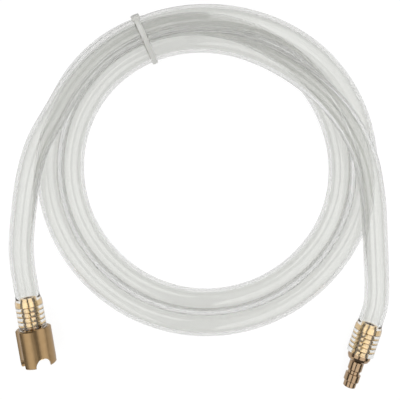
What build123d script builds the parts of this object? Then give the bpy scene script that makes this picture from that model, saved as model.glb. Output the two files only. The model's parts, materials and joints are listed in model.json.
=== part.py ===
"""Water level hose: a wound clear hose with a quick-release socket on one end and a plug on the other."""

import os
from math import acos, cos, dist, pi, radians, sin, sqrt

from build123d import *

# Hose
hose_bore = 10.0
hose_wall = 2.0
hose_radius = hose_bore / 2 + hose_wall
hose_diameter = 2 * hose_radius
floor_flat = 0.5  # the coil's weight flattens the strands on the floor

# Barbed tails, one in each end of the hose
barb_stretch = 0.5  # the hose is stretched this much in radius
barb_bite = 0.03
barb_depth = 0.7
barb_pitch = 2.8
barb_rings = 4
barb_step = 0.7
lead_barb = 4.8
tail_length = 18.4
tail_crest = hose_bore / 2 + barb_stretch
tail_root = tail_crest - barb_depth
tail_tip = tail_root - 0.2
swollen_bore = tail_crest - barb_bite
swollen_radius = swollen_bore + hose_wall
swell_length = 4.0
swell_start = tail_length + 1.2  # distance of the swelling's start from the hose end

# Winding: two and a half turns seen from above, turning clockwise
coil_centre = Vector(3.42, 16.565, 0)
strand_gap = 0.2
strand_pitch = hose_diameter + strand_gap
outer_lane = 91.1
inner_lane = outer_lane - strand_pitch
floor_lane = hose_radius - floor_flat
first_bearing = -60
last_bearing = 100
leg_bend_radius = 0.77 * outer_lane
left_lead = 0.21 * outer_lane
left_run_in = 0.275 * outer_lane
right_lead = 0.22 * outer_lane
right_run_in = 0.148 * outer_lane

# Cable tie
tie_bearing = -25
tie_slack = 0.4
strap_thickness = 1.0
strap_width = 3.0
tie_floor_gap = 0.2
head_length = 3.6
head_height = 2.0
head_width = 4.8
head_lean = 48  # the head sits on the top strand, this far up from its outer side
head_sink = 0.5
stub_height = 0.5
stub_offset = 0.5
tie_lift = hose_radius + tie_slack + strap_thickness + tie_floor_gap - floor_lane

# Plug nipple, measured from the hose end
collar_radius = 6.7
collar_length = 2.4
shoulder_radius = 6.0
shoulder_end = 4.0
cone_end = 5.4
stem_radius = 4.2
groove_back = 10.5
groove_front = 13.1
groove_radius = 3.5
ridge_radius = 4.5
ridge_front = 17.8
tip_radius = 3.7
plug_length = 21.4
plug_bore = 3.0
nose_bore = 2.0
nose_bore_length = 4.0
turned_edge = 0.4

# Socket: locking balls and cam
ball_radius = 1.3
ball_count = 4
ball_bite = 0.8
release_gap = 0.15
ball_plane = 13.6
ball_turn = 59
ball_clearance = 0.05
sleeve_travel = 3.0
slide_clearance = 0.05
plug_clearance = 0.1
ball_rest = ridge_radius - ball_bite + ball_radius
ball_lift = ball_bite + release_gap
cam_slope = ball_lift / sleeve_travel
cam_start = ball_plane - 0.4

# Socket: body, measured from the sleeve's rear rim towards the mouth
body_radius = ball_rest + ball_radius
body_bore = ridge_radius + plug_clearance
ball_bore = body_bore + 0.2  # wider behind the guiding land at the mouth
guide_back = ball_plane + ball_radius + 0.5
ball_lip = sqrt(ball_radius**2 - (ball_rest - ball_bore) ** 2) + 0.01
body_back = 0.6
body_front = 18.6
flange_front = 2.0
web_back = 2.8
web_front = 3.6
web_hole = 2.7
tip_bore = tip_radius + plug_clearance
tip_bore_front = 7.4
seal_section = 0.75
seal_back = 4.7
seal_front = 6.4
seal_depth = tip_radius - 0.03 + 2 * seal_section
ring_back = 15.4
ring_front = 16.4
ring_inner = body_radius - 0.5
ring_gap = 1.4
ring_clearance = 0.06

# Socket: sleeve and its spring
sleeve_length = 22.2
spring_wire = 0.9
spring_turns = 5
spring_gap = 0.3
hose_gap = 0.6
sleeve_wall = 2.1
spring_radius = body_radius + spring_gap + spring_wire / 2
chamber_radius = max(swollen_radius + hose_gap, spring_radius + spring_wire / 2 + 2 * spring_gap)
sleeve_radius = chamber_radius + sleeve_wall
flange_radius = chamber_radius - spring_gap
chamber_front = 10.5
land_radius = body_radius + slide_clearance
cam_end = 17.0
mouth_radius = 8.4
notch_count = 4
notch_width = 8.7
notch_depth = 5.0
notch_turn = 31
flute_turn = 2.5  # from the notch below it
flute_radius = 9.5
flute_depth = 1.4
rim_edge = 0.6

# Socket: valve
valve_chamber = 3.9
valve_chamber_back = -8.0
tail_bore = 2.75
spigot_radius = valve_chamber + 1.3
poppet_travel = 2.4
valve_seal_section = 0.375
valve_seal_gap = 0.05
poppet_front = web_back - valve_seal_gap - 2 * valve_seal_section
poppet_head = 1.0
poppet_radius = valve_chamber - 0.45
valve_seal_radius = web_hole + 0.35
boss_radius = valve_seal_radius - valve_seal_section - 0.05
stem_thickness = 1.3
nose_radius = web_hole - 0.35
nose_end = web_front + poppet_travel + 0.2
nose_length = 1.0
nose_slot = 1.1
guide_radius = 2.0
guide_length = 3.5
valve_wire = 0.6
valve_turns = 6
valve_spring_radius = guide_radius + 0.45 + valve_wire / 2
spring_play = 0.05

# Where the fittings lie, seen from the coil's centre
floor_gap = 0.15
socket_turn = 8.4
socket_tilt = 5.0
plug_turn = -16.5
plug_tilt = 6.5
socket_height = sleeve_radius * cos(radians(socket_tilt)) + sleeve_length * sin(radians(socket_tilt))
socket_place = Vector(-1.1065, -1.0055, 0) * outer_lane
plug_place = Vector(1.0022, -1.1811, 0) * outer_lane
socket_origin = coil_centre + socket_place + Vector(0, 0, socket_height + floor_gap)
plug_origin = coil_centre + plug_place + Vector(0, 0, swollen_radius + 2 * floor_gap)


def pointing(turn, tilt):
    """Direction towards the front edge, turned to the right and tilted down by the given angles."""
    turn, tilt = radians(turn), radians(tilt)
    return Vector(sin(turn) * cos(tilt), -cos(turn) * cos(tilt), -sin(tilt))


socket_axis = pointing(socket_turn, socket_tilt)
socket_side = Vector(0, 0, 1).cross(socket_axis).normalized()
socket_up = socket_axis.cross(socket_side)
socket_half = Plane(origin=socket_origin, x_dir=socket_side, z_dir=socket_side.cross(socket_axis))
socket_line = Axis(socket_origin, socket_axis)
plug_axis = pointing(plug_turn, plug_tilt)
plug_side = Vector(0, 0, 1).cross(plug_axis).normalized()
plug_half = Plane(origin=plug_origin, x_dir=plug_side, z_dir=plug_side.cross(plug_axis))
plug_line = Axis(plug_origin, plug_axis)


def radial(angle):
    """Direction square to the socket's axis, at an angle from the one that faces up."""
    return socket_up * cos(radians(angle)) + socket_side * sin(radians(angle))


def barb_profile(hose_end):
    """Outer outline of a barbed tail as radius and distance, from its tip to the hose end."""
    crest = hose_end - tail_length + lead_barb
    outline = [(tail_tip, hose_end - tail_length), (tail_crest, crest)]
    for ring in range(barb_rings):
        outline.append((tail_root, crest + ring * barb_pitch + barb_step))
        outline.append((tail_crest, crest + (ring + 1) * barb_pitch))
    outline.append((tail_root, crest + barb_rings * barb_pitch + barb_step))
    return outline + [(tail_root, hose_end)]


def station(bearing, lane, offset, height, outward, climb):
    """Point of the winding and the heading there.

    Offset from the lane and height over the floor lane are in strand pitches, and so are the
    outward run and the climb, each per quarter turn.
    """
    out = Vector(sin(radians(bearing)), cos(radians(bearing)), 0)
    along = Vector(cos(radians(bearing)), -sin(radians(bearing)), 0)
    radius = lane + offset * strand_pitch
    point = out * radius + Vector(0, 0, floor_lane + height * strand_pitch)
    heading = out * outward * strand_pitch + along * (radius * pi / 2) + Vector(0, 0, climb * strand_pitch)
    return coil_centre + point, heading.normalized()


def arc_joint(start, start_heading, end, end_heading):
    """Meeting point and heading of two tangent arcs between two stations."""
    span = end - start
    both = start_heading + end_heading
    spread = 2 * (1 - start_heading.dot(end_heading))
    reach = (sqrt(span.dot(both) ** 2 + spread * span.dot(span)) - span.dot(both)) / spread
    first = start + start_heading * reach
    second = end - end_heading * reach
    return (first + second) / 2, (second - first).normalized()


# Lane, offset, height, outward run and climb at each quarter turn from the left leg to the right leg
strap_room = tie_lift / strand_pitch
winding = (
    (outer_lane, -0.10, 1.09, -0.74, -0.20),
    (outer_lane, -0.02, 0.99, 1.15, -2.03),
    (outer_lane, 0.13, 0, -0.51, 0),
    (outer_lane, 0, 0, 0.08, 0),
    (outer_lane, 0.26, strap_room, 0.10, 2.6 * strap_room),
    (inner_lane, 0.47, 0, -0.88, 0),
    (inner_lane, 0.115, 0, -0.44, 0),
    (inner_lane, 0, 0, 0.07, 0),
    (inner_lane, 0.21, 0.115, -0.14, 0.34),
    (inner_lane, -0.14, 0.98, 0.47, 0.95),
    (outer_lane, 0.43, 1.05, 2.91, -1.69),
)
bearings = [first_bearing + 90 * quarter for quarter in range(len(winding) - 1)] + [last_bearing]
stations = [station(bearing, *values) for bearing, values in zip(bearings, winding)]
coil_first, first_heading = stations[0]
coil_last, last_heading = stations[-1]
coil_start = coil_first - first_heading * hose_diameter
coil_end = coil_last + last_heading * hose_diameter

# The wound coil
with BuildLine() as coil_path:
    Line(coil_start, coil_first)
    arcs = []
    for (start, start_heading), (end, end_heading) in zip(stations, stations[1:]):
        middle, middle_heading = arc_joint(start, start_heading, end, end_heading)
        arcs.append(TangentArc(start, middle, tangent=start_heading))
        arcs.append(TangentArc(middle, end, tangent=middle_heading))
    Line(coil_last, coil_end)

with BuildPart() as hose_coil:
    with BuildSketch(Plane(origin=coil_start, z_dir=first_heading)):
        Circle(hose_radius)
        Circle(hose_bore / 2, mode=Mode.SUBTRACT)
    sweep(path=coil_path.wire())
    split(bisect_by=Plane.XY)

trace = []
travelled = 0.0
for arc in arcs:
    for step in range(32):
        trace.append((travelled + arc.length * step / 32, tuple(arc @ (step / 32))))
    travelled += arc.length
least = min(
    dist(here, there)
    for index, (run, here) in enumerate(trace)
    for further, there in trace[index:]
    if further - run > 200
)
print("coil arcs", [round(arc.radius, 1) for arc in arcs])
print("coil least gap", round(least - hose_diameter, 3))
tube_section = pi * (hose_radius**2 - (hose_bore / 2) ** 2)
coil_length = travelled + 2 * hose_diameter
print("coil volume", hose_coil.part.volume, "section by length", tube_section * coil_length)

# Left leg, from the coil to the socket's tail
hose_butt = body_back - 0.02
left_swell = socket_origin + socket_axis * (hose_butt - swell_start)
left_points = (
    coil_start,
    coil_start - first_heading * left_lead,
    coil_centre + Vector(-1.137, -0.023, 0) * outer_lane + Vector(0, 0, 1.39) * strand_pitch,
    coil_centre + Vector(-1.161, -0.245, 0) * outer_lane + Vector(0, 0, 1.235) * strand_pitch,
    left_swell - socket_axis * left_run_in,
    left_swell,
)
with BuildLine() as left_path:
    FilletPolyline(*left_points, radius=leg_bend_radius)

swell = (
    (hose_radius, -swell_start),
    (swollen_radius, swell_length - swell_start),
    (swollen_radius, 0),
    (swollen_bore, 0),
    (swollen_bore, swell_length - swell_start),
    (hose_bore / 2, -swell_start),
)
with BuildPart() as left_hose_leg:
    with BuildSketch(Plane(origin=coil_start, z_dir=-first_heading)):
        Circle(hose_radius)
        Circle(hose_bore / 2, mode=Mode.SUBTRACT)
    sweep(path=left_path.wire())
    print("left leg volume", left_hose_leg.part.volume, tube_section * left_path.wire().length)
    with BuildSketch(socket_half):
        with BuildLine():
            Polyline([(radius, hose_butt + place) for radius, place in swell], close=True)
        make_face()
    revolve(axis=socket_line)

# Right leg, from the coil to the plug
right_swell = plug_origin - plug_axis * swell_start
right_points = (
    coil_end,
    coil_end + last_heading * right_lead,
    right_swell - plug_axis * right_run_in,
    right_swell,
)
with BuildLine() as right_path:
    FilletPolyline(*right_points, radius=leg_bend_radius)

with BuildPart() as right_hose_leg:
    with BuildSketch(Plane(origin=coil_end, z_dir=last_heading)):
        Circle(hose_radius)
        Circle(hose_bore / 2, mode=Mode.SUBTRACT)
    sweep(path=right_path.wire())
    print("right leg volume", right_hose_leg.part.volume, tube_section * right_path.wire().length)
    with BuildSketch(plug_half):
        with BuildLine():
            Polyline(swell, close=True)
        make_face()
    revolve(axis=plug_line)

for points in (left_points, right_points):
    for before, corner, after in zip(points, points[1:], points[2:]):
        bend = acos((corner - before).normalized().dot((after - corner).normalized()))
        print("leg corner", [round(value, 1) for value in corner], "turn", round(bend * 180 / pi, 1))
print("hose length", coil_length + left_path.wire().length + right_path.wire().length + 2 * swell_start)

# Cable tie around the three strands at the top
tie_out = Vector(sin(radians(tie_bearing)), cos(radians(tie_bearing)), 0)
tie_along = Vector(cos(radians(tie_bearing)), -sin(radians(tie_bearing)), 0)
tie_plane = Plane(origin=coil_centre, x_dir=tie_out, z_dir=tie_along)
strands = []
for (_, here), (_, there) in zip(trace, trace[1:]):
    here, there = Vector(here) - coil_centre, Vector(there) - coil_centre
    before, after = here.dot(tie_along), there.dot(tie_along)
    if before * after <= 0 and here.dot(tie_out) > 0:
        crossing = here + (there - here) * (before / (before - after))
        strands.append((crossing.dot(tie_out), crossing.Z))
print("strands at the tie", [[round(value, 2) for value in strand] for strand in strands])
strap_inside = hose_radius + tie_slack
strap_outside = strap_inside + strap_thickness
head_out = Vector(cos(radians(head_lean)), sin(radians(head_lean)))
head_along = Vector(-head_out.Y, head_out.X)
head_middle = Vector(*strands[0]) + head_out * (strap_outside + head_height / 2 - head_sink)
with BuildPart() as cable_tie:
    with BuildSketch(tie_plane):
        with BuildLine():
            Polyline(strands, close=True)
        make_face()
        offset(amount=strap_outside)
    extrude(amount=strap_width / 2, both=True)
    with BuildSketch(tie_plane):
        with Locations(head_middle):
            Rectangle(head_height, head_length, rotation=head_lean)
    extrude(amount=head_width / 2, both=True)
    with BuildSketch(tie_plane):
        with Locations(head_middle + head_out * head_height / 2 + head_along * stub_offset):
            Rectangle(2 * stub_height, strap_thickness, rotation=head_lean)
    extrude(amount=strap_width / 2, both=True)
    with BuildSketch(tie_plane):
        with BuildLine():
            Polyline(strands, close=True)
        make_face()
        offset(amount=strap_inside)
    extrude(amount=head_width, both=True, mode=Mode.SUBTRACT)

# Plug nipple
with BuildPart() as plug_nipple:
    with BuildSketch(plug_half):
        with BuildLine():
            Polyline(
                [(plug_bore, -tail_length)]
                + barb_profile(0)
                + [
                    (collar_radius, 0),
                    (collar_radius, collar_length),
                    (shoulder_radius, shoulder_end),
                    (stem_radius, cone_end),
                    (stem_radius, groove_back),
                    (groove_radius, groove_back + 0.6),
                    (groove_radius, groove_front - 0.2),
                    (ridge_radius, groove_front),
                    (ridge_radius, ridge_front - turned_edge),
                    (ridge_radius - turned_edge, ridge_front),
                    (tip_radius, ridge_front),
                    (tip_radius, plug_length - turned_edge),
                    (tip_radius - turned_edge, plug_length),
                    (nose_bore, plug_length),
                    (nose_bore, plug_length - nose_bore_length),
                    (plug_bore, plug_length - nose_bore_length - 1),
                ],
                close=True,
            )
        make_face()
    revolve(axis=plug_line)

# Socket tail
with BuildPart() as socket_tail:
    with BuildSketch(socket_half):
        with BuildLine():
            Polyline(
                [(tail_bore, body_back - tail_length)]
                + barb_profile(body_back)
                + [
                    (spigot_radius, body_back),
                    (spigot_radius, web_back),
                    (valve_chamber, web_back),
                    (valve_chamber, valve_chamber_back),
                    (tail_bore, valve_chamber_back),
                ],
                close=True,
            )
        make_face()
    revolve(axis=socket_line)

# Socket body
with BuildPart() as socket_body:
    with BuildSketch(socket_half):
        with BuildLine():
            Polyline(
                (spigot_radius, body_back),
                (flange_radius, body_back),
                (flange_radius, flange_front),
                (body_radius, flange_front),
                (body_radius, ring_back),
                (ring_inner, ring_back),
                (ring_inner, ring_front),
                (body_radius, ring_front),
                (body_radius, body_front - turned_edge),
                (body_radius - turned_edge, body_front),
                (body_bore + turned_edge, body_front),
                (body_bore, body_front - turned_edge),
                (body_bore, guide_back),
                (ball_bore, guide_back),
                (ball_bore, tip_bore_front),
                (tip_bore, tip_bore_front - turned_edge),
                (tip_bore, seal_front),
                (seal_depth, seal_front),
                (seal_depth, seal_back),
                (tip_bore, seal_back),
                (tip_bore, web_front),
                (web_hole, web_front),
                (web_hole, web_back),
                (spigot_radius, web_back),
                close=True,
            )
        make_face()
    revolve(axis=socket_line)
    for ball in range(ball_count):
        outwards = radial(ball_turn + 90 * ball)
        hole_centre = socket_origin + socket_axis * ball_plane
        hole_plane = Plane(origin=hole_centre, x_dir=socket_axis, z_dir=socket_axis.cross(outwards))
        with BuildSketch(hole_plane):
            with BuildLine():
                Polyline(
                    (0, ball_bore - 1),
                    (ball_lip, ball_bore - 1),
                    (ball_lip, ball_bore),
                    (ball_radius + ball_clearance, ball_rest),
                    (ball_radius + ball_clearance, body_radius + 1),
                    (0, body_radius + 1),
                    close=True,
                )
            make_face()
        revolve(axis=Axis(hole_centre, outwards), mode=Mode.SUBTRACT)

# Release sleeve
with BuildPart() as release_sleeve:
    with BuildSketch(socket_half):
        with BuildLine():
            Polyline(
                (chamber_radius, 0),
                (sleeve_radius - rim_edge, 0),
                (sleeve_radius, rim_edge),
                (sleeve_radius, sleeve_length - rim_edge),
                (sleeve_radius - rim_edge, sleeve_length),
                (mouth_radius, sleeve_length),
                (mouth_radius, cam_end + 0.3),
                (land_radius + cam_slope * (cam_end - cam_start), cam_end),
                (land_radius, cam_start),
                (land_radius, chamber_front),
                (chamber_radius, chamber_front),
                close=True,
            )
        make_face()
    revolve(axis=socket_line)
    for notch in range(notch_count):
        outwards = radial(notch_turn + 360 / notch_count * notch)
        notch_plane = Plane(origin=socket_origin, x_dir=socket_axis, z_dir=outwards)
        with BuildSketch(notch_plane):
            with Locations((sleeve_length - notch_depth + notch_width / 2, 0)):
                Circle(notch_width / 2)
            with Locations((sleeve_length + 0.5, 0)):
                Rectangle(2 * (notch_depth - notch_width / 2 + 0.5), notch_width)
        extrude(amount=sleeve_radius + 1, mode=Mode.SUBTRACT)
        flute_out = radial(notch_turn + flute_turn + 360 / notch_count * notch)
        flute_plane = Plane(
            origin=socket_origin + flute_out * (sleeve_radius + flute_radius - flute_depth),
            x_dir=flute_out,
            z_dir=socket_axis,
        )
        with BuildSketch(flute_plane):
            Circle(flute_radius)
        extrude(amount=sleeve_length, mode=Mode.SUBTRACT)

# Sleeve spring
with BuildLine() as sleeve_coil:
    Helix(
        pitch=(chamber_front - flange_front - spring_wire - 2 * spring_play) / spring_turns,
        height=chamber_front - flange_front - spring_wire - 2 * spring_play,
        radius=spring_radius,
        center=socket_origin + socket_axis * (flange_front + spring_play + spring_wire / 2),
        direction=socket_axis,
    )
with BuildPart() as sleeve_spring:
    with BuildSketch(Plane(origin=sleeve_coil.line @ 0, z_dir=sleeve_coil.line % 0)):
        Circle(spring_wire / 2)
    sweep(path=sleeve_coil.line)

# Split ring that stops the sleeve
ring_outer = land_radius + cam_slope * (ring_back - cam_start) - ring_clearance
ring_plane = Plane(origin=socket_origin + socket_axis * ring_back, x_dir=socket_up, z_dir=socket_axis)
with BuildPart() as sleeve_retaining_ring:
    with BuildSketch(ring_plane):
        Circle(ring_outer)
        Circle(ring_inner, mode=Mode.SUBTRACT)
        with Locations((ring_outer, 0)):
            Rectangle(2 * (ring_outer - ring_inner) + 1, ring_gap, mode=Mode.SUBTRACT)
    extrude(amount=ring_front - ring_back)

# Plug seal
with BuildPart() as plug_seal:
    with BuildSketch(socket_half):
        with Locations((seal_depth - seal_section, (seal_back + seal_front) / 2)):
            Circle(seal_section)
    revolve(axis=socket_line)

# Valve poppet
with BuildPart() as valve_poppet:
    with BuildSketch(socket_half):
        with BuildLine():
            Polyline(
                (0, poppet_front - poppet_head - guide_length),
                (guide_radius - turned_edge, poppet_front - poppet_head - guide_length),
                (guide_radius, poppet_front - poppet_head - guide_length + turned_edge),
                (guide_radius, poppet_front - poppet_head),
                (poppet_radius, poppet_front - poppet_head),
                (poppet_radius, poppet_front),
                (boss_radius, poppet_front),
                (boss_radius, poppet_front + valve_seal_section),
                (stem_thickness, poppet_front + valve_seal_section),
                (stem_thickness, nose_end - nose_length),
                (nose_radius, nose_end - nose_length),
                (nose_radius, nose_end),
                (0, nose_end),
                close=True,
            )
        make_face()
    revolve(axis=socket_line)
    nose_plane = Plane(
        origin=socket_origin + socket_axis * (nose_end - nose_length), x_dir=socket_side, z_dir=socket_axis
    )
    with BuildSketch(nose_plane):
        with PolarLocations(nose_radius, 4):
            Rectangle(2 * (nose_radius - stem_thickness), nose_slot)
    extrude(amount=nose_length, mode=Mode.SUBTRACT)

# Valve seal
with BuildPart() as valve_seal:
    with BuildSketch(socket_half):
        with Locations((valve_seal_radius, poppet_front + valve_seal_section)):
            Circle(valve_seal_section)
    revolve(axis=socket_line)

# Valve spring
valve_spring_length = poppet_front - poppet_head - valve_chamber_back - valve_wire - 2 * spring_play
with BuildLine() as valve_coil:
    Helix(
        pitch=valve_spring_length / valve_turns,
        height=valve_spring_length,
        radius=valve_spring_radius,
        center=socket_origin + socket_axis * (valve_chamber_back + spring_play + valve_wire / 2),
        direction=socket_axis,
    )
with BuildPart() as valve_spring:
    with BuildSketch(Plane(origin=valve_coil.line @ 0, z_dir=valve_coil.line % 0)):
        Circle(valve_wire / 2)
    sweep(path=valve_coil.line)

hose_coil.part.label = "hose_coil"
left_hose_leg.part.label = "left_hose_leg"
right_hose_leg.part.label = "right_hose_leg"
cable_tie.part.label = "cable_tie"
plug_nipple.part.label = "plug_nipple"
socket_tail.part.label = "socket_tail"
socket_body.part.label = "socket_body"
release_sleeve.part.label = "release_sleeve"
sleeve_spring.part.label = "sleeve_spring"
sleeve_retaining_ring.part.label = "sleeve_retaining_ring"
plug_seal.part.label = "plug_seal"
valve_poppet.part.label = "valve_poppet"
valve_seal.part.label = "valve_seal"
valve_spring.part.label = "valve_spring"

os.makedirs("parts", exist_ok=True)
export_step(hose_coil.part, "parts/hose_coil.step")
export_step(left_hose_leg.part, "parts/left_hose_leg.step")
export_step(right_hose_leg.part, "parts/right_hose_leg.step")
export_step(cable_tie.part, "parts/cable_tie.step")
export_step(plug_nipple.part, "parts/plug_nipple.step")
export_step(socket_tail.part, "parts/socket_tail.step")
export_step(socket_body.part, "parts/socket_body.step")
export_step(release_sleeve.part, "parts/release_sleeve.step")
export_step(sleeve_spring.part, "parts/sleeve_spring.step")
export_step(sleeve_retaining_ring.part, "parts/sleeve_retaining_ring.step")
export_step(plug_seal.part, "parts/plug_seal.step")
export_step(valve_poppet.part, "parts/valve_poppet.step")
export_step(valve_seal.part, "parts/valve_seal.step")
export_step(valve_spring.part, "parts/valve_spring.step")

# Locking balls
for number in range(1, ball_count + 1):
    outwards = radial(ball_turn + 90 * (number - 1))
    with BuildPart() as locking_ball:
        with Locations(socket_origin + socket_axis * ball_plane + outwards * ball_rest):
            Sphere(ball_radius)
    locking_ball.part.label = f"locking_ball_{number}"
    export_step(locking_ball.part, f"parts/locking_ball_{number}.step")
    print("ball", number, [round(value, 5) for value in outwards])

outside = (hose_coil, left_hose_leg, right_hose_leg, cable_tie, plug_nipple, release_sleeve)
box = Compound([piece.part for piece in outside]).bounding_box()
print("box", [round(value, 2) for value in box.min], [round(value, 2) for value in box.max])
for name, place, axis in (("socket", socket_origin, socket_axis), ("plug", plug_origin, plug_axis)):
    print(name, "origin", [round(value, 5) for value in place], "axis", [round(value, 6) for value in axis])
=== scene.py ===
"""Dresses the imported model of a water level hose: wound clear hose, tie and brass couplings."""

from __future__ import annotations

import json
import logging
from dataclasses import dataclass, field
from enum import Enum
from math import atan, ceil, cos, pi, radians, sin
from typing import Any, Protocol, Sequence

import bmesh
import bpy
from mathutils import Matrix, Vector


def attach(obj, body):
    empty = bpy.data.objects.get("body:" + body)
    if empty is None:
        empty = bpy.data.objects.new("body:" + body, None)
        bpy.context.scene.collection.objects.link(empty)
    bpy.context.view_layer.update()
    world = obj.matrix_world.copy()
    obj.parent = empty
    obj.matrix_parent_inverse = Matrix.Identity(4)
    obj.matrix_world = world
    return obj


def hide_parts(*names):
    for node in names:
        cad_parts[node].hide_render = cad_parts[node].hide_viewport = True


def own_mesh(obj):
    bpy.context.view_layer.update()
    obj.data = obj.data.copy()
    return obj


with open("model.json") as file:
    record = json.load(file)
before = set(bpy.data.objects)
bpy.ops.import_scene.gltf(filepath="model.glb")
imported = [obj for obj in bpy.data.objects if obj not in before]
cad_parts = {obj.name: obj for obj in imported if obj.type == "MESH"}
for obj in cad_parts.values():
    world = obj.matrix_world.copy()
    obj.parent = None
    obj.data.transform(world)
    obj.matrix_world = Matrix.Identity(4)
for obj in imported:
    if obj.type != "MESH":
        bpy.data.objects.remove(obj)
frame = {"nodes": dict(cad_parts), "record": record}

LOG = logging.getLogger("water_level_hose")
MM = 0.001
QUARTER = 90
# Turns that the hose's own coordinates are ahead in the bore, and where a shader parts the two.
BORE_TURN = 2.0
BORE_FROM = 1.5
# Sockets of a Mix node that mixes colours.
MIX_SHARE, MIX_FIRST, MIX_SECOND, MIX_RESULT = 0, 6, 7, 2
WHITE = (1.0, 1.0, 1.0)
Colour = tuple[float, float, float]
Triple = tuple[float, float, float]
Pair = tuple[float, float]
Ring = list[bmesh.types.BMVert]


class Body(Enum):
    """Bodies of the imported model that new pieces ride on."""

    HOSE = "hose"
    TURNER = "sleeve_turner"


class Slot(Enum):
    """Material slots of the record."""

    HOSE = "clear_hose"
    NYLON = "nylon"
    BRASS = "polished_brass"
    SATIN = "satin_brass"
    STEEL = "steel"
    RUBBER = "seal_rubber"


class Graph:
    """Adds and links nodes in one node tree."""

    def __init__(self, tree: bpy.types.NodeTree) -> None:
        """Keeps the tree that the nodes go into."""
        self.tree = tree

    def feed(self, node: bpy.types.Node, values: dict[Any, Any]) -> None:
        """Gives a node's inputs what they work with.

        Args:
            node: node of the tree.
            values: sockets to link or plain values, by the input's name or number.
        """
        for name, value in values.items():
            if isinstance(value, bpy.types.NodeSocket):
                self.tree.links.new(value, node.inputs[name])
            else:
                node.inputs[name].default_value = value

    def add(
        self, kind: str, values: dict[Any, Any] | None = None, **settings: Any
    ) -> bpy.types.Node:
        """Adds one node.

        Args:
            kind: Blender's type name of the node.
            values: sockets or plain values for its inputs, by name or number.
            settings: properties of the node itself.

        Returns:
            The new node.
        """
        node = self.tree.nodes.new(kind)
        for name, value in settings.items():
            setattr(node, name, value)
        self.feed(node, values or {})
        return node

    def math(self, operation: str, *values: Any) -> bpy.types.NodeSocket:
        """Adds a Math node for sockets or numbers and gives its output socket."""
        return self.add("ShaderNodeMath", dict(enumerate(values)), operation=operation).outputs[0]

    def mix(self, share: bpy.types.NodeSocket, first: Any, second: Any) -> bpy.types.NodeSocket:
        """Mixes two colours.

        Args:
            share: socket with the second colour's share.
            first: colour or socket at no share.
            second: colour or socket at full share.

        Returns:
            The mixed colour's socket.
        """
        values = {MIX_SHARE: share}
        for place, colour in ((MIX_FIRST, first), (MIX_SECOND, second)):
            linked = isinstance(colour, bpy.types.NodeSocket)
            values[place] = colour if linked else rgba(colour)
        return self.add("ShaderNodeMix", values, data_type="RGBA").outputs[MIX_RESULT]


def rgba(colour: Colour) -> tuple[float, float, float, float]:
    """Adds full alpha to a colour."""
    return (*colour, 1.0)


def new_material(name: str) -> tuple[bpy.types.Material, Graph, bpy.types.Node]:
    """Makes a material with a bare Principled BSDF.

    Args:
        name: the material's name.

    Returns:
        The material, its graph and its Principled BSDF.
    """
    material = bpy.data.materials.new(name)
    material.use_nodes = True
    material.node_tree.nodes.clear()
    graph = Graph(material.node_tree)
    shader = graph.add("ShaderNodeBsdfPrincipled")
    graph.add("ShaderNodeOutputMaterial", {"Surface": shader.outputs["BSDF"]})
    return material, graph, shader


def shader_group(
    name: str, inputs: dict[str, tuple[str, Any]], outputs: dict[str, str]
) -> tuple[Graph, bpy.types.Node, bpy.types.Node]:
    """Starts a shader node group with named sockets.

    Args:
        name: the group's name.
        inputs: socket type and default by input name.
        outputs: socket type by output name.

    Returns:
        The group's graph, its input node and its output node.
    """
    tree = bpy.data.node_groups.new(name, "ShaderNodeTree")
    for label, (kind, value) in inputs.items():
        socket = tree.interface.new_socket(label, in_out="INPUT", socket_type=kind)
        socket.default_value = value
    for label, kind in outputs.items():
        tree.interface.new_socket(label, in_out="OUTPUT", socket_type=kind)
    graph = Graph(tree)
    return graph, graph.add("NodeGroupInput"), graph.add("NodeGroupOutput")


def mottle_group() -> bpy.types.NodeTree:
    """Shared group: soft patches and fine grain as values around a half.

    Returns:
        The group, made once.
    """
    if "mottle" in bpy.data.node_groups:
        return bpy.data.node_groups["mottle"]
    graph, inside, outside = shader_group(
        "mottle",
        {
            "Vector": ("NodeSocketVector", (0.0, 0.0, 0.0)),
            "Patches": ("NodeSocketFloat", 200.0),
            "Grain": ("NodeSocketFloat", 2500.0),
        },
        {"Patches": "NodeSocketFloat", "Grain": "NodeSocketFloat"},
    )
    given = inside.outputs
    for label, detail in (("Patches", 3.0), ("Grain", 2.0)):
        values = {"Vector": given["Vector"], "Scale": given[label], "Detail": detail}
        noise = graph.add("ShaderNodeTexNoise", {**values, "Roughness": 0.55})
        graph.feed(outside, {label: noise.outputs[0]})
    return graph.tree


def turning_group() -> bpy.types.NodeTree:
    """Shared group: fine rings around an axis, as a turning tool leaves them.

    Returns:
        The group, made once.
    """
    if "turning_marks" in bpy.data.node_groups:
        return bpy.data.node_groups["turning_marks"]
    graph, inside, outside = shader_group(
        "turning_marks",
        {
            "Vector": ("NodeSocketVector", (0.0, 0.0, 0.0)),
            "Axis": ("NodeSocketVector", (0.0, 1.0, 0.0)),
            "Rings": ("NodeSocketFloat", 9000.0),
            "Depth": ("NodeSocketFloat", 0.1),
        },
        {"Normal": "NodeSocketVector"},
    )
    given = inside.outputs
    run = graph.add(
        "ShaderNodeVectorMath", {0: given["Vector"], 1: given["Axis"]}, operation="DOT_PRODUCT"
    )
    rings = graph.add(
        "ShaderNodeTexNoise",
        {"W": run.outputs["Value"], "Scale": given["Rings"], "Detail": 3.0},
        noise_dimensions="1D",
    )
    bump = graph.add(
        "ShaderNodeBump",
        {"Height": rings.outputs[0], "Strength": given["Depth"], "Distance": 0.0001},
    )
    graph.feed(outside, {"Normal": bump.outputs["Normal"]})
    return graph.tree


class Finish(Protocol):
    """Anything that can make a material."""

    def material(self) -> bpy.types.Material:
        """Builds the material."""


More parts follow.
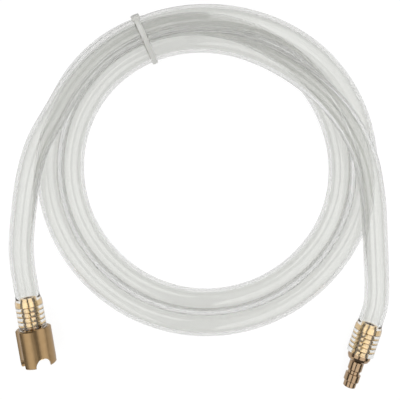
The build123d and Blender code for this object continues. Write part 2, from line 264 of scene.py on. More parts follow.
@dataclass(frozen=True)
class ClearPlastic:
    """Soft clear plastic of the hose, a little grey, with faint streaks from the die."""

    name: str = Slot.HOSE.value
    tint: Colour = (0.91, 0.912, 0.899)
    # Colour of the painted shade at the hose's outline.
    painted_edge_shade: Colour = (0.72, 0.722, 0.714)
    streak_tint: Colour = (0.785, 0.789, 0.77)
    streak_spread: Triple = (70.0, 1.5, 1.0)
    streak_scale: float = 1.0
    painted_shade_facing: Pair = (0.25, 0.45)
    clearness: float = 0.93
    shadow_tint: Colour = (0.88, 0.88, 0.88)
    ior: float = 1.5
    roughness: float = 0.05

    def material(self) -> bpy.types.Material:
        """Builds the hose's material.

        Returns:
            Clear plastic with painted shade in its colour towards its outline.
        """
        material, graph, shader = new_material(self.name)
        coords = graph.add("ShaderNodeUVMap", uv_map="route").outputs["UV"]
        spread = graph.add("ShaderNodeMapping", {"Vector": coords, "Scale": self.streak_spread})
        streaks = graph.add(
            "ShaderNodeGroup",
            {"Vector": spread.outputs["Vector"], "Patches": self.streak_scale},
            node_tree=mottle_group(),
        )
        inner = graph.mix(streaks.outputs["Patches"], self.tint, self.streak_tint)
        # Painted shade: by facing, the outer surface's colour turns darker towards the hose's
        # outline.
        facing = graph.add("ShaderNodeLayerWeight", {"Blend": 0.5}).outputs["Facing"]
        low, high = self.painted_shade_facing
        edge = graph.add("ShaderNodeMapRange", {"Value": facing, "From Min": low, "From Max": high})
        turn = graph.add("ShaderNodeSeparateXYZ", {0: coords})
        outside = graph.math("LESS_THAN", turn.outputs["X"], BORE_FROM)
        painted_rim_shade = graph.math("MULTIPLY", edge.outputs["Result"], outside)
        graph.feed(
            shader,
            {
                "Base Color": graph.mix(painted_rim_shade, inner, self.painted_edge_shade),
                "Transmission Weight": self.clearness,
                "IOR": self.ior,
                "Roughness": self.roughness,
            },
        )
        shadow = graph.add("ShaderNodeLightPath").outputs["Is Shadow Ray"]
        through = graph.add("ShaderNodeBsdfTransparent", {"Color": rgba(self.shadow_tint)})
        lit = graph.add(
            "ShaderNodeMixShader", {0: shadow, 1: shader.outputs[0], 2: through.outputs[0]}
        )
        graph.feed(graph.tree.nodes["Material Output"], {"Surface": lit.outputs[0]})
        return material


@dataclass(frozen=True)
class Metal:
    """Turned metal with ring marks and a little tarnish, and painted shade, a darker brass, from a
    point on its axis onwards.
    """

    name: str
    colour: Colour
    tarnish: Colour
    axis: Triple
    smooth: float
    dull: float
    marks: float
    painted_shade_from: float | None = None
    painted_shade_colour: Colour = (0.0, 0.0, 0.0)
    painted_shade_tarnish: Colour = (0.0, 0.0, 0.0)
    painted_shade_blend: float = 0.5
    patch_scale: float = 260.0
    grain_scale: float = 3000.0
    ring_scale: float = 7000.0

    def material(self) -> bpy.types.Material:
        """Builds the metal.

        Returns:
            Metal whose colour and gloss vary in patches.
        """
        material, graph, shader = new_material(self.name)
        coords = graph.add("ShaderNodeTexCoord").outputs["Object"]
        patches = graph.add(
            "ShaderNodeGroup",
            {"Vector": coords, "Patches": self.patch_scale, "Grain": self.grain_scale},
            node_tree=mottle_group(),
        ).outputs
        turned = graph.add(
            "ShaderNodeGroup",
            {"Vector": coords, "Axis": self.axis, "Rings": self.ring_scale, "Depth": self.marks},
            node_tree=turning_group(),
        )
        tone = graph.mix(patches["Patches"], self.colour, self.tarnish)
        # Painted shade: beyond a point on the axis the colour blends to a darker brass, standing in
        # for the dim surroundings reflected there, with its tarnish patches kept.
        if self.painted_shade_from is not None:
            run = graph.add(
                "ShaderNodeVectorMath", {0: coords, 1: self.axis}, operation="DOT_PRODUCT"
            )
            full = self.painted_shade_from + self.painted_shade_blend * MM
            painted_shade_mask = graph.add(
                "ShaderNodeMapRange",
                {"Value": run.outputs["Value"], "From Min": self.painted_shade_from, "From Max": full},
            )
            painted_shade_tone = graph.mix(patches["Patches"], self.painted_shade_colour, self.painted_shade_tarnish)
            tone = graph.mix(painted_shade_mask.outputs["Result"], tone, painted_shade_tone)
        gloss = graph.math("MULTIPLY_ADD", patches["Grain"], self.dull - self.smooth, self.smooth)
        graph.feed(
            shader,
            {
                "Base Color": tone,
                "Metallic": 1.0,
                "Roughness": gloss,
                "Normal": turned.outputs["Normal"],
            },
        )
        return material


@dataclass(frozen=True)
class Moulded:
    """Moulded nylon or rubber with a fine grain."""

    name: str
    colour: Colour
    shade: Colour
    roughness: float
    glow: float = 0.0
    glow_reach: Triple = (0.002, 0.002, 0.0018)
    patch_scale: float = 300.0
    grain_scale: float = 4000.0
    bump: float = 0.15
    bump_depth: float = 0.0001

    def material(self) -> bpy.types.Material:
        """Builds the moulded plastic or rubber.

        Returns:
            Material with soft patches and a fine bump.
        """
        material, graph, shader = new_material(self.name)
        coords = graph.add("ShaderNodeTexCoord").outputs["Object"]
        patches = graph.add(
            "ShaderNodeGroup",
            {"Vector": coords, "Patches": self.patch_scale, "Grain": self.grain_scale},
            node_tree=mottle_group(),
        ).outputs
        bump = graph.add(
            "ShaderNodeBump",
            {"Strength": self.bump, "Distance": self.bump_depth, "Height": patches["Grain"]},
        )
        values = {
            "Base Color": graph.mix(patches["Patches"], self.colour, self.shade),
            "Roughness": self.roughness,
            "Normal": bump.outputs["Normal"],
        }
        if self.glow:
            values["Subsurface Weight"] = self.glow
            values["Subsurface Radius"] = self.glow_reach
            values["Subsurface Scale"] = 1.0
        graph.feed(shader, values)
        return material


@dataclass(frozen=True)
class FittingPlace:
    """Where a fitting starts and which way it points, in millimetres and degrees."""

    origin: Triple
    turn: float
    tilt: float

    @property
    def axis(self) -> Vector:
        """Direction from the hose towards the fitting's open end."""
        turn, tilt = radians(self.turn), radians(self.tilt)
        return Vector((sin(turn) * cos(tilt), -cos(turn) * cos(tilt), -sin(tilt)))

    def at(self, distance: float) -> Vector:
        """Finds the point on the axis so many millimetres towards the open end."""
        return Vector(self.origin) + self.axis * distance


SOCKET_PLACE = FittingPlace((-97.38215, -75.03605, 12.24604), turn=8.4, tilt=5.0)
PLUG_PLACE = FittingPlace((94.72042, -91.03321, 7.77), turn=-16.5, tilt=6.5)
COIL_CENTRE: Pair = (3.42, 16.565)


def new_object(name: str, data: bpy.types.ID) -> bpy.types.Object:
    """Puts a mesh, curve, light or camera into the scene.

    Args:
        name: the object's name.
        data: what the object shows.

    Returns:
        The new object, at the origin.
    """
    made = bpy.data.objects.new(name, data)
    bpy.context.scene.collection.objects.link(made)
    return made


def add_piece(
    name: str,
    mesh: bpy.types.Mesh,
    material: bpy.types.Material,
    body: Body,
    nodes: Sequence[str],
) -> bpy.types.Object:
    """Puts a mesh into the scene as a piece of the part.

    Args:
        name: the object's name.
        mesh: its mesh, in metres at the origin.
        material: what its surface is, unless the mesh has one.
        body: body that it rides on.
        nodes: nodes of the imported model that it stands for.

    Returns:
        The new object.
    """
    piece = new_object(name, mesh)
    if not mesh.materials:
        mesh.materials.append(material)
    if nodes:
        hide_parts(*nodes)
    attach(piece, body.value)
    LOG.info("%s: %d faces", name, len(mesh.polygons))
    return piece


def join_rings(made: bmesh.types.BMesh, ring: Ring, ahead: Ring) -> None:
    """Puts smooth faces between two rings of corners.

    Args:
        made: mesh that the rings are in.
        ring: corners of one ring.
        ahead: corners of the next ring.
    """
    for step in range(len(ring)):
        after = (step + 1) % len(ring)
        made.faces.new((ring[step], ring[after], ahead[after], ahead[step])).smooth = True


def plain_mesh(made: bmesh.types.BMesh, name: str) -> bpy.types.Mesh:
    """Turns a mesh in work into one for the scene.

    Args:
        made: the mesh in work, which is freed.
        name: the new mesh's name.

    Returns:
        The new mesh.
    """
    mesh = bpy.data.meshes.new(name)
    made.to_mesh(mesh)
    made.free()
    return mesh


@dataclass(frozen=True)
class Station:
    """One quarter turn of the winding; offset, height and runs are in strand pitches."""

    outer: bool
    offset: float
    height: float
    outward: float
    climb: float


@dataclass(frozen=True)
class BarbedTail:
    """Outline of the tails in the hose, from the hose's end; lengths in millimetres."""

    length: float = 18.4
    lead: float = 4.8
    pitch: float = 2.8
    step: float = 0.7
    rings: int = 4
    crest: float = 5.5
    root: float = 4.8
    tip: float = 4.6

    @property
    def first_crest(self) -> float:
        """Distance of the foremost barb from the hose's end."""
        return self.length - self.lead

    def radius(self, to_end: float) -> float:
        """Finds how thick the tail is.

        Args:
            to_end: distance from the hose's end.

        Returns:
            The tail's radius, or nothing beyond its tip.
        """
        if to_end > self.length:
            return 0.0
        if to_end > self.first_crest:
            return self.tip + (self.crest - self.tip) * (self.length - to_end) / self.lead
        if self.first_crest - to_end > self.rings * self.pitch + self.step:
            return self.root
        behind = (self.first_crest - to_end) % self.pitch
        barb = self.crest - self.root
        if behind < self.step:
            return self.crest - barb * behind / self.step
        return self.root + barb * (behind - self.step) / (self.pitch - self.step)


@dataclass
class Hose:
    """The clear hose, wound two and a half turns, with a fitting pressed into each end.

    Lengths are in millimetres, the whole length in metres and the legs' runs in outer lanes.
    """

    bore: float = 10.0
    wall: float = 2.0
    outer_lane: float = 91.1
    strand_gap: float = 0.2
    floor_flat: float = 0.5
    first_bearing: float = -60.0
    last_bearing: float = 100.0
    whole_turns: int = 2
    tie_lift: float = 2.1
    tie_climb: float = 2.6
    socket_run: float = 0.275
    left_corners: tuple[Triple, ...] = ((-1.15, -0.249, 1.235), (-1.113, -0.024, 1.39))
    left_run: float = 0.21
    right_run: float = 0.22
    plug_run: float = 0.144
    plug_gap: float = 0.02
    steps_per_quarter: int = 6
    spline_steps: int = 8
    spline_order: int = 3
    sides: int = 56
    swell_start: float = 19.6
    swell_length: float = 4.0
    swell: float = 0.9
    tail: BarbedTail = BarbedTail()
    tail_step: float = 0.3
    hug: float = 0.02
    bridge: float = 5.2
    butt: float = 0.58
    length: float = 1.55
    finish: ClearPlastic = ClearPlastic()
    end_finish: ClearPlastic = ClearPlastic("stretched_hose", clearness=1.0)
    stations: tuple[Station, ...] = field(init=False)

    def __post_init__(self) -> None:
        """Fills in the winding's stations, from the socket's leg to the plug's."""
        strap_room = self.tie_lift / self.pitch
        # On the outer lane or not, offset from the lane, height, run outwards, climb.
        self.stations = (
            Station(True, -0.112, 1.088, -0.29, -0.06),
            Station(True, -0.157, 0.98, 1.26, -1.785),
            Station(True, 0.146, 0.0, -0.47, 0.0),
            Station(True, 0.0, 0.0, 0.08, 0.0),
            Station(True, 0.216, strap_room, 0.12, self.tie_climb * strap_room),
            Station(False, 0.435, 0.0, -1.04, 0.0),
            Station(False, 0.155, 0.0, -0.51, 0.0),
            Station(False, 0.0, 0.0, 0.07, 0.0),
            Station(False, 0.192, 0.126, -0.05, 0.42),
            Station(False, -0.193, 0.89, 0.23, 0.81),
            Station(True, 0.41, 1.05, 2.88, -1.69),
        )

    @property
    def radius(self) -> float:
        """Outside radius of the free hose."""
        return self.bore / 2 + self.wall

    @property
    def pitch(self) -> float:
        """Distance between neighbouring strands."""
        return 2 * self.radius + self.strand_gap

    def values(self, station: Station) -> tuple[float, float, float, float]:
        """Turns a station into millimetres.

        Args:
            station: the station of the winding.

        Returns:
            Radius from the coil's centre, height, and the runs of both in a quarter turn.
        """
        lane = self.outer_lane if station.outer else self.outer_lane - self.pitch
        radius = lane + station.offset * self.pitch
        height = self.radius - self.floor_flat + station.height * self.pitch
        return radius, height, station.outward * self.pitch, station.climb * self.pitch

    def on_coil(self, bearing: float, radius: float, height: float) -> Vector:
        """Finds a point by compass bearing from the coil's centre.

        Args:
            bearing: degrees clockwise from the tied side.
            radius: distance from the centre.
            height: distance from the floor.

        Returns:
            The point in millimetres.
        """
        x, y = COIL_CENTRE
        angle = radians(bearing)
        return Vector((x + radius * sin(angle), y + radius * cos(angle), height))

    def heading(self, bearing: float, station: Station) -> Vector:
        """Finds the direction in which the hose passes a station.

        Args:
            bearing: the station's bearing.
            station: the station of the winding.

        Returns:
            A direction of unit length.
        """
        radius, _, outward, climb = self.values(station)
        angle = radians(bearing)
        out = Vector((sin(angle), cos(angle), 0))
        along = Vector((cos(angle), -sin(angle), 0))
        return (out * outward + along * (radius * pi / 2) + Vector((0, 0, climb))).normalized()

    def winding(self) -> list[Vector]:
        """Lays out the coil's turns.

        Returns:
            Control points a few degrees apart, drawn out because the spline runs inside them.
        """
        points = []
        bearings = [self.first_bearing + QUARTER * n for n in range(len(self.stations) - 1)]
        bearings.append(self.last_bearing + 4 * QUARTER * self.whole_turns)
        for index in range(len(self.stations) - 1):
            r0, z0, out0, up0 = self.values(self.stations[index])
            r1, z1, out1, up1 = self.values(self.stations[index + 1])
            span = bearings[index + 1] - bearings[index]
            share = span / QUARTER
            steps = round(self.steps_per_quarter * share)
            # The divisor is what a quadratic spline keeps of a circle's radius at mid-span.
            drawn_out = 1 / (0.75 + 0.25 * cos(radians(span / steps)))
            for step in range(steps):
                t = step / steps
                h00, h10 = 2 * t**3 - 3 * t**2 + 1, t**3 - 2 * t**2 + t
                h01, h11 = 3 * t**2 - 2 * t**3, t**3 - t**2
                radius = h00 * r0 + h10 * out0 * share + h01 * r1 + h11 * out1 * share
                height = h00 * z0 + h10 * up0 * share + h01 * z1 + h11 * up1 * share
                points.append(self.on_coil(bearings[index] + span * t, radius * drawn_out, height))
        r1, z1, _, _ = self.values(self.stations[-1])
        return points + [self.on_coil(self.last_bearing, r1, z1)]

    def lane_point(self, across: float, along: float, height: float) -> Vector:
        """Finds a corner of a leg's route.

        Args:
            across: distance from the coil's centre in outer lanes.
            along: the same, towards the tied side.
            height: distance from the floor in strand pitches.

        Returns:
            The point in millimetres.
        """
        x, y = COIL_CENTRE
        lane = self.outer_lane
        return Vector((x + across * lane, y + along * lane, height * self.pitch))

    def route(self) -> list[Vector]:
        """Lays out the whole hose.

        Returns:
            Control points from the socket to the plug, in millimetres.
        """
        coil = self.winding()
        first = self.heading(self.first_bearing, self.stations[0])
        last = self.heading(self.last_bearing, self.stations[-1])
        straight = 2 * self.radius
        radius, height, _, _ = self.values(self.stations[0])
        start = self.on_coil(self.first_bearing, radius, height) - first * straight
        end = coil[-1] + last * straight
        left_swell = self.butt - self.swell_start
        left = [
            SOCKET_PLACE.at(self.butt),
            SOCKET_PLACE.at(left_swell / 2),
            SOCKET_PLACE.at(left_swell),
            SOCKET_PLACE.at(left_swell - self.socket_run * self.outer_lane),
            *(self.lane_point(*corner) for corner in self.left_corners),
            start - first * (self.left_run * self.outer_lane),
            start,
        ]
        right = [
            end,
            end + last * (self.right_run * self.outer_lane),
            PLUG_PLACE.at(-self.swell_start - self.plug_run * self.outer_lane),
            PLUG_PLACE.at(-self.swell_start),
            PLUG_PLACE.at(-self.swell_start / 2),
            PLUG_PLACE.at(-self.plug_gap),
        ]
        return left + coil + right

    def centre_line(self) -> list[Vector]:
        """Reads the hose's centre line from a smooth spline on the route.

        Returns:
            Points from the socket to the plug, in metres.
        """
        curve = bpy.data.curves.new("hose_route", "CURVE")
        curve.dimensions = "3D"
        curve.resolution_u = self.spline_steps
        points = self.route()
        spline = curve.splines.new("NURBS")
        spline.points.add(len(points) - 1)
        for control, point in zip(spline.points, points):
            control.co = (*(point * MM), 1.0)
        spline.order_u = self.spline_order
        spline.use_endpoint_u = True
        spline.resolution_u = self.spline_steps
        carrier = new_object("hose_route", curve)
        bpy.context.view_layer.update()
        mesh = bpy.data.meshes.new_from_object(carrier)
        line = [vertex.co.copy() for vertex in mesh.vertices]
        bpy.data.objects.remove(carrier)
        bpy.data.curves.remove(curve)
        bpy.data.meshes.remove(mesh)
        return line

    def walls(self, to_end: float) -> Pair:
        """Finds the radii of the wall, which bulges over the tails and hugs their barbs.

        Args:
            to_end: distance from the nearer end.

        Returns:
            Outside and inside radius in millimetres.
        """
        t = min(max((self.swell_start - to_end) / self.swell_length, 0.0), 1.0)
        stretch = t * t * (3 - 2 * t)
        slack = self.bridge if to_end < self.tail.first_crest else self.bore / 2
        return self.radius + self.swell * stretch, max(slack, self.tail.radius(to_end) - self.hug)

    def finer_ends(self, line: Sequence[Vector]) -> list[Vector]:
        """Adds points where the wall follows the barbs.

        Args:
            line: points of the centre line, in metres.

        Returns:
            The line with short steps at both ends.
        """
        points = [line[0]]
        run = 0.0
        whole = sum((after - before).length for before, after in zip(line, line[1:]))
        for before, after in zip(line, line[1:]):
            step = (after - before).length
            near = min(run, whole - run - step) < self.swell_start * MM
            cuts = ceil(step / (self.tail_step * MM)) if near else 1
            points += [before.lerp(after, cut / cuts) for cut in range(1, cuts + 1)]
            run += step
        return points

    def tube(self, line: Sequence[Vector]) -> bpy.types.Mesh:
        """Makes the tube with its bore and open ends.

        Args:
            line: points of the centre line, in metres.

        Returns:
            A closed mesh with its own coordinates around and along the hose.
        """
        runs = [0.0]
        for before, after in zip(line, line[1:]):
            runs.append(runs[-1] + (after - before).length)
        tube = bmesh.new()
        side = Vector((0, 0, 1))
        outer_rings: list[Ring] = []
        inner_rings: list[Ring] = []
        for index, point in enumerate(line):
            ahead = (line[min(index + 1, len(line) - 1)] - line[max(index - 1, 0)]).normalized()
            side = (side - ahead * side.dot(ahead)).normalized()
            across = ahead.cross(side)
            walls = self.walls(min(runs[index], runs[-1] - runs[index]) / MM)
            for radius, rings in zip(walls, (outer_rings, inner_rings)):
                ring = []
                for step in range(self.sides):
                    angle = 2 * pi * step / self.sides
                    spot = point + (side * cos(angle) + across * sin(angle)) * (radius * MM)
                    spot.z = max(spot.z, 0.0)
                    ring.append(tube.verts.new(spot))
                rings.append(ring)
        route = tube.loops.layers.uv.new("route")
        for rings, outward in ((outer_rings, True), (inner_rings, False)):
            for index in range(len(line) - 1):
                at_end = min(runs[index], runs[-1] - runs[index + 1]) < self.swell_start * MM
                for step in range(self.sides):
                    after = (step + 1) % self.sides
                    corners = [
                        (rings[index][step], step, index),
                        (rings[index][after], step + 1, index),
                        (rings[index + 1][after], step + 1, index + 1),
                        (rings[index + 1][step], step, index + 1),
                    ]
                    if not outward:
                        corners.reverse()
                    face = tube.faces.new([corner[0] for corner in corners])
                    face.smooth = True
                    face.material_index = int(at_end)
                    for loop, (_, turn, place) in zip(face.loops, corners):
                        around = turn / self.sides + (0.0 if outward else BORE_TURN)
                        loop[route].uv = (around, runs[place])
        for index, flip in ((0, False), (-1, True)):
            for step in range(self.sides):
                after = (step + 1) % self.sides
                corners = [outer_rings[index][step], inner_rings[index][step]]
                corners += [inner_rings[index][after], outer_rings[index][after]]
                tube.faces.new(corners[::-1] if flip else corners).material_index = 1
            for ring in (outer_rings[index], inner_rings[index]):
                for step in range(self.sides):
                    tube.edges.get((ring[step], ring[(step + 1) % self.sides])).smooth = False
        return plain_mesh(tube, "clear_hose")

    def build(self, carried: Sequence[bpy.types.Object]) -> bpy.types.Object:
        """Args:
            carried: pieces that sit on the hose; not used.

        Returns:
            The hose's object.
        """
        line = self.centre_line()
        hose = add_piece(
            "clear_hose",
            self.tube(self.finer_ends(line)),
            self.finish.material(),
            Body.HOSE,
            ("hose_coil", "left_hose_leg", "right_hose_leg"),
        )
        hose.data.materials.append(self.end_finish.material())
        2 * self.radius * MM
        return hose


@dataclass
class Tie:
    """Nylon cable tie around three strands, with its head on the top strand.

    Lengths are in millimetres; strands are the top, the outer and the inner one.
    """

    bearing: float = -25.0
    strands: tuple[Pair, ...] = ((86.96, 23.27), (92.51, 8.76), (77.4, 11.8))
    inside: float = 7.4
    thickness: float = 1.0
    width: float = 3.0
    corner: float = 0.22
    arc_step: float = 6.0
    tooth_pitch: float = 0.85
    tooth_width: float = 2.0
    tooth_height: float = 0.22
    tooth_share: float = 0.5
    tooth_drop: float = 0.02
    head_size: Triple = (2.0, 3.6, 4.8)
    head_lean: float = 48.0
    head_sink: float = 0.5
    head_corner: float = 0.4
    stub_height: float = 0.5
    stub_offset: float = 0.5
    stub_corner: float = 0.15
    finish: Moulded = Moulded(
        "nylon", (0.80, 0.80, 0.765), (0.74, 0.74, 0.70), roughness=0.38, glow=0.25
    )

    @property
    def head_frame(self) -> tuple[Vector, Vector]:
        """Directions in the tie's plane away from the top strand and across the head."""
        lean = radians(self.head_lean)
        return Vector((cos(lean), sin(lean))), Vector((-sin(lean), cos(lean)))

    def place(self, out: float, up: float, along: float = 0.0) -> Vector:
        """Turns a point of the tie's own plane into the part's frame.

        Args:
            out: distance from the coil's centre line.
            up: height over the floor.
            along: distance along the strands.

        Returns:
            The point in metres.
        """
        angle = radians(self.bearing)
        x = COIL_CENTRE[0] + out * sin(angle) + along * cos(angle)
        y = COIL_CENTRE[1] + out * cos(angle) - along * sin(angle)
        return Vector((x, y, up)) * MM

    def loop(self, offset: float) -> list[tuple[Vector, Vector]]:
        """Runs around the three strands like a tight band.

        Args:
            offset: distance from the strands' centres.

        Returns:
            Points of the tie's plane with their outward directions.
        """
        top, outer, inner = (Vector(strand) for strand in self.strands)
        corners = [top, inner, outer]
        points = []
        for index, corner in enumerate(corners):
            back = (corner - corners[index - 1]).normalized()
            ahead = (corners[(index + 1) % len(corners)] - corner).normalized()
            start = Vector((back.y, -back.x))
            turn = back.angle_signed(ahead)
            steps = max(2, round(abs(turn) / radians(self.arc_step)))
            for step in range(steps + 1):
                angle = abs(turn) * step / steps
                x, y = cos(angle), sin(angle)
                out = Vector((start.x * x - start.y * y, start.x * y + start.y * x))
                points.append((corner + out * offset, out))
        return points

    def strap(self, made: bmesh.types.BMesh) -> None:
        """Adds the strap to a mesh.

        Args:
            made: mesh that the strap goes into.
        """
        half, deep, cut = self.width / 2, self.thickness / 2, self.corner
        section = [(-half, cut - deep), (-half, deep - cut), (cut - half, deep), (half - cut, deep)]
        section += [(-along, -away) for along, away in section]
        rings = []
        for point, out in self.loop(self.inside + self.thickness / 2):
            ring = []
            for along, away in section:
                spot = point + out * away
                ring.append(made.verts.new(self.place(spot.x, spot.y, along)))
            rings.append(ring)
        for index, ring in enumerate(rings):
            join_rings(made, ring, rings[(index + 1) % len(rings)])

    def block(
        self, made: bmesh.types.BMesh, centre: Vector, size: Triple, corner: float
    ) -> None:
        """Adds a rounded block that leans with the head.

        Args:
            made: mesh that the block goes into.
            centre: its middle in the tie's plane.
            size: its height away from the strand, its length and its width.
            corner: rounding of its edges.
        """
        out, side = self.head_frame
        box = bmesh.ops.create_cube(made, size=1.0)["verts"]
        edges = {edge for vert in box for edge in vert.link_edges}
        for vert in box:
            spot = centre + out * (vert.co.x * size[0]) + side * (vert.co.y * size[1])
            vert.co = self.place(spot.x, spot.y, vert.co.z * size[2])
        made.normal_update()
        rounded = bmesh.ops.bevel(
            made, geom=list(edges), offset=corner * MM,
            segments=3, profile=0.5, affect="EDGES", clamp_overlap=True,
        )
        for face in rounded["faces"]:
            face.smooth = True

    def teeth(self, nylon: bpy.types.Material) -> bpy.types.Mesh:
        """Makes the ratchet teeth on the strap's inner face with a geometry node group.

        Args:
            nylon: the tie's material.

        Returns:
            A plain mesh with every tooth.
        """
        line = self.loop(self.inside - self.tooth_drop)
        carrier_mesh = bpy.data.meshes.new("teeth_line")
        points = [self.place(point.x, point.y) for point, _ in line]
        ends = [(n, (n + 1) % len(points)) for n in range(len(points))]
        carrier_mesh.from_pydata(points, ends, [])
        carrier = new_object("teeth_line", carrier_mesh)
        tree = bpy.data.node_groups.new("teeth_along_strap", "GeometryNodeTree")
        tree.interface.new_socket("Geometry", in_out="INPUT", socket_type="NodeSocketGeometry")
        angle = radians(self.bearing)
        size = (self.tooth_pitch * self.tooth_share, self.tooth_height, self.tooth_width)
        wanted = {
            "Pitch": ("NodeSocketFloat", self.tooth_pitch * MM),
            "Tooth Size": ("NodeSocketVector", Vector(size) * MM),
            "Across": ("NodeSocketVector", Vector((cos(angle), -sin(angle), 0.0))),
            "Material": ("NodeSocketMaterial", nylon),
        }
        sockets = {}
        for name, (kind, _) in wanted.items():
            sockets[name] = tree.interface.new_socket(name, in_out="INPUT", socket_type=kind)
        tree.interface.new_socket("Geometry", in_out="OUTPUT", socket_type="NodeSocketGeometry")
        graph = Graph(tree)
        inside, outside = graph.add("NodeGroupInput"), graph.add("NodeGroupOutput")
        curve = graph.add("GeometryNodeMeshToCurve")
        spread = graph.add("GeometryNodeResampleCurve", mode="LENGTH")
        tooth = graph.add("GeometryNodeMeshCube")
        along = graph.add("GeometryNodeInputTangent")
        turn = graph.add("FunctionNodeAlignRotationToVector", axis="X", pivot_axis="AUTO")
        twist = graph.add("FunctionNodeAlignRotationToVector", axis="Z", pivot_axis="X")
        copies = graph.add("GeometryNodeInstanceOnPoints")
        plain = graph.add("GeometryNodeRealizeInstances")
        paint = graph.add("GeometryNodeSetMaterial")
        for source, given, target, taken in (
            (inside, "Geometry", curve, "Mesh"),
            (curve, "Curve", spread, "Curve"),
            (inside, "Pitch", spread, "Length"),
            (inside, "Tooth Size", tooth, "Size"),
            (along, "Tangent", turn, "Vector"),
            (turn, "Rotation", twist, "Rotation"),
            (inside, "Across", twist, "Vector"),
            (spread, "Curve", copies, "Points"),
            (tooth, "Mesh", copies, "Instance"),
            (twist, "Rotation", copies, "Rotation"),
            (copies, "Instances", plain, "Geometry"),
            (plain, "Geometry", paint, "Geometry"),
            (inside, "Material", paint, "Material"),
            (paint, "Geometry", outside, "Geometry"),
        ):
            graph.feed(target, {taken: source.outputs[given]})
        modifier = carrier.modifiers.new("teeth", "NODES")
        modifier.node_group = tree
        for name, (_, value) in wanted.items():
            modifier[sockets[name].identifier] = value
        bpy.context.view_layer.update()
        shown = carrier.evaluated_get(bpy.context.evaluated_depsgraph_get())
        mesh = bpy.data.meshes.new_from_object(shown)
        carrier.modifiers.remove(modifier)
        bpy.data.objects.remove(carrier)
        return mesh

    def build(self) -> list[bpy.types.Object]:
        """Makes the tie.

        Returns:
            The strap with its head, and the teeth.
        """
        made = bmesh.new()
        self.strap(made)
        out, side = self.head_frame
        reach = self.inside + self.thickness - self.head_sink
        middle = Vector(self.strands[0]) + out * (reach + self.head_size[0] / 2)
        self.block(made, middle, self.head_size, self.head_corner)
        stub = middle + out * (self.head_size[0] / 2) + side * self.stub_offset
        size = (2 * self.stub_height, self.thickness, self.width)
        self.block(made, stub, size, self.stub_corner)
        bmesh.ops.recalc_face_normals(made, faces=made.faces)
        mesh = plain_mesh(made, "tie_strap")
        nylon = self.finish.material()
        strap = add_piece("tie_strap", mesh, nylon, Body.HOSE, ("cable_tie",))
        teeth = add_piece("tie_teeth", self.teeth(nylon), nylon, Body.HOSE, ())
        return [strap, teeth]


@dataclass(frozen=True)
class Spring:
    """A wound spring on the socket's axis that a slide presses together; lengths in millimetres."""

    node: str
    body: Body
    joint: str
    travel: float
    start: float
    length: float
    radius: float
    wire: float
    turns: int
    steps: int = 28
    sides: int = 10

    def wound(self) -> bpy.types.Mesh:
        """Winds the wire.

        Returns:
            A closed mesh of the wire, in metres.
        """
        axis = SOCKET_PLACE.axis
        side = axis.orthogonal().normalized()
        up = axis.cross(side)
        rise = (self.length - self.wire) / (2 * pi * self.turns)
        made = bmesh.new()
        rings = []
        for step in range(self.steps * self.turns + 1):
            angle = 2 * pi * step / self.steps
            out = side * cos(angle) + up * sin(angle)
            ahead = ((up * cos(angle) - side * sin(angle)) * self.radius + axis * rise).normalized()
            lift = ahead.cross(out)
            centre = SOCKET_PLACE.at(self.start + self.wire / 2 + rise * angle) + out * self.radius
            ring = []
            for corner in range(self.sides):
                turn = 2 * pi * corner / self.sides
                spot = centre + (out * cos(turn) + lift * sin(turn)) * (self.wire / 2)
                ring.append(made.verts.new(spot * MM))
            rings.append(ring)
        for ring, ahead in zip(rings, rings[1:]):
            join_rings(made, ring, ahead)
        made.faces.new(rings[0])
        made.faces.new(rings[-1])
        bmesh.ops.recalc_face_normals(made, faces=made.faces)
        return plain_mesh(made, self.node)

    def build(self, steel: bpy.types.Material) -> None:
        """Makes the spring on its body.

        Args:
            steel: the spring's material.
        """
        name = self.node + "_wire"
        spring = add_piece(name, self.wound(), steel, self.body, (self.node,))
        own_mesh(spring)


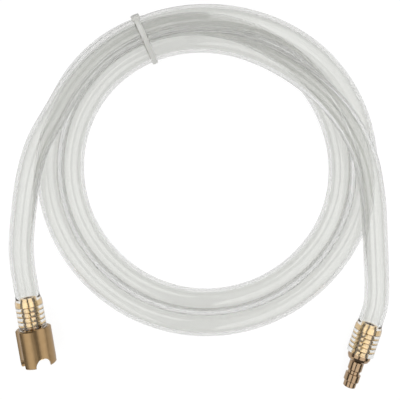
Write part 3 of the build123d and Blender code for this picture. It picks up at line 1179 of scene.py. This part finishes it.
@dataclass
class Couplings:
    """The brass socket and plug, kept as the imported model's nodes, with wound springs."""

    springs: tuple[Spring, ...] = (
        Spring(
            "sleeve_spring", Body.TURNER, "sleeve_slide",
            travel=3.0, start=2.05, length=8.4, radius=7.05, wire=0.9, turns=5,
        ),
        Spring(
            "valve_spring", Body.HOSE, "valve_slide",
            travel=2.4, start=-7.95, length=8.9, radius=2.75, wire=0.6, turns=6,
        ),
    )
    finishes: dict[Slot, Finish] = field(init=False)
    plug: Finish = field(init=False)

    def __post_init__(self) -> None:
        """Chooses a finish for each slot, and the plug's own brass, with painted shade where it
        stands out of the hose.
        """
        socket, plug = tuple(SOCKET_PLACE.axis), tuple(PLUG_PLACE.axis)
        bright = {"smooth": 0.12, "dull": 0.22, "marks": 0.02}
        satin = {"smooth": 0.28, "dull": 0.42, "marks": 0.05}
        drawn = {"smooth": 0.15, "dull": 0.3, "marks": 0.02}
        self.plug = Metal(
            "plug_brass_painted_shade",
            (0.88, 0.67, 0.40),
            (0.74, 0.53, 0.28),
            plug,
            **bright,
            # Painted shade: the plug turns darker brown beyond the hose's end.
            painted_shade_from=PLUG_PLACE.at(0.0).dot(PLUG_PLACE.axis) * MM,
            painted_shade_colour=(0.42, 0.30, 0.19),
            painted_shade_tarnish=(0.30, 0.20, 0.12),
        )
        self.finishes = {
            Slot.BRASS: Metal(
                "polished_brass", (0.92, 0.70, 0.42), (0.78, 0.56, 0.30), socket, **bright
            ),
            Slot.SATIN: Metal(
                "satin_brass", (0.39, 0.265, 0.14), (0.305, 0.195, 0.092), socket, **satin
            ),
            Slot.STEEL: Metal("steel", (0.62, 0.63, 0.64), (0.52, 0.53, 0.55), socket, **drawn),
            Slot.RUBBER: Moulded(
                "seal_rubber", (0.022, 0.022, 0.024), (0.035, 0.035, 0.036), roughness=0.55
            ),
        }

    def build(self) -> None:
        """Dresses every node of the couplings."""
        made = {slot: finish.material() for slot, finish in self.finishes.items()}
        plug = self.plug.material()
        for entry in frame["record"]["subparts"]:
            slot = Slot(entry["material_slot"])
            if slot in made:
                mesh = frame["nodes"][entry["node"]].data
                mesh.materials.clear()
                mesh.materials.append(plug if entry["node"] == "plug_nipple" else made[slot])
                LOG.info("%s: %s", entry["node"], slot.value)
        for spring in self.springs:
            spring.build(made[Slot.STEEL])


@dataclass(frozen=True)
class SoftBox:
    """A lamp panel that hangs level beside the camera, between two distances across the coil."""

    name: str
    from_x: float
    to_x: float
    brightness: float


@dataclass(frozen=True)
class Studio:
    """White floor, soft light and a camera straight above; lengths in metres."""

    camera_height: float = 0.385
    camera_place: Pair = (0.00012, -0.000735)
    floor_width: float = 0.2412
    floor_reach: float = 3.0
    floor_drop: float = 0.0003
    floor_colour: Colour = (0.9, 0.9, 0.9)
    floor_glow: float = 1.08
    floor_share: float = 0.85
    boxes: tuple[SoftBox, ...] = (
        SoftBox("plug_side_panel", 0.03, 0.78, 1.42),
        SoftBox("socket_side_panel", -0.83, -0.12, 1.42),
    )
    box_height: float = 0.46
    box_length: float = 0.9
    box_place: float = -0.08
    sky: float = 0.13

    def camera(self) -> None:
        """Looks straight down, with the tied side of the coil at the top."""
        data = bpy.data.cameras.new("camera")
        data.sensor_fit = "HORIZONTAL"
        data.angle = 2 * atan(self.floor_width / 2 / self.camera_height)
        camera = new_object("camera", data)
        camera.location = (*self.camera_place, self.camera_height)
        bpy.context.scene.camera = camera

    def floor(self) -> None:
        """Lays a white floor that keeps a faint shadow."""
        mesh = bpy.data.meshes.new("floor")
        far = self.floor_reach
        corners = [(-far, -far, 0), (far, -far, 0), (far, far, 0), (-far, far, 0)]
        mesh.from_pydata(corners, [], [(0, 1, 2, 3)])
        floor = new_object("floor", mesh)
        floor.location.z = -self.floor_drop
        material = bpy.data.materials.new("floor")
        material.use_nodes = True
        material.node_tree.nodes.clear()
        graph = Graph(material.node_tree)
        paint = graph.add("ShaderNodeBsdfDiffuse", {"Color": rgba(self.floor_colour)})
        light = {"Color": rgba(WHITE), "Strength": self.floor_glow}
        glow = graph.add("ShaderNodeEmission", light)
        path = graph.add("ShaderNodeLightPath").outputs
        seen = graph.math("MAXIMUM", path["Is Camera Ray"], path["Is Glossy Ray"])
        seen = graph.math("MAXIMUM", seen, path["Is Transmission Ray"])
        share = graph.math("MULTIPLY", seen, self.floor_share)
        mix = graph.add("ShaderNodeMixShader", {0: share, 1: paint.outputs[0], 2: glow.outputs[0]})
        graph.add("ShaderNodeOutputMaterial", {"Surface": mix.outputs[0]})
        mesh.materials.append(material)

    def lamps(self) -> None:
        """Hangs a soft panel on each side of the camera, under a dim even sky."""
        for box in self.boxes:
            width = box.to_x - box.from_x
            data = bpy.data.lights.new(box.name, "AREA")
            data.shape = "RECTANGLE"
            data.size, data.size_y = width, self.box_length
            data.energy = box.brightness * pi * width * self.box_length
            lamp = new_object(box.name, data)
            lamp.location = ((box.from_x + box.to_x) / 2, self.box_place, self.box_height)
            lamp.visible_camera = False
        world = bpy.data.worlds.new("sky")
        world.use_nodes = True
        background = world.node_tree.nodes["Background"]
        background.inputs["Color"].default_value = rgba(WHITE)
        background.inputs["Strength"].default_value = self.sky
        bpy.context.scene.world = world

    def build(self) -> None:
        """Sets up camera, floor, lamps and view."""
        self.camera()
        self.floor()
        self.lamps()
        bpy.context.scene.view_settings.view_transform = "Standard"


def main() -> None:
    """Builds every piece in order."""
    logging.basicConfig(level=logging.INFO, format="%(message)s")
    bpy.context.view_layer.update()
    Studio().build()
    tie = Tie().build()
    Hose().build([*tie, frame["nodes"]["plug_nipple"]])
    Couplings().build()


if __name__ == "__main__":
    main()
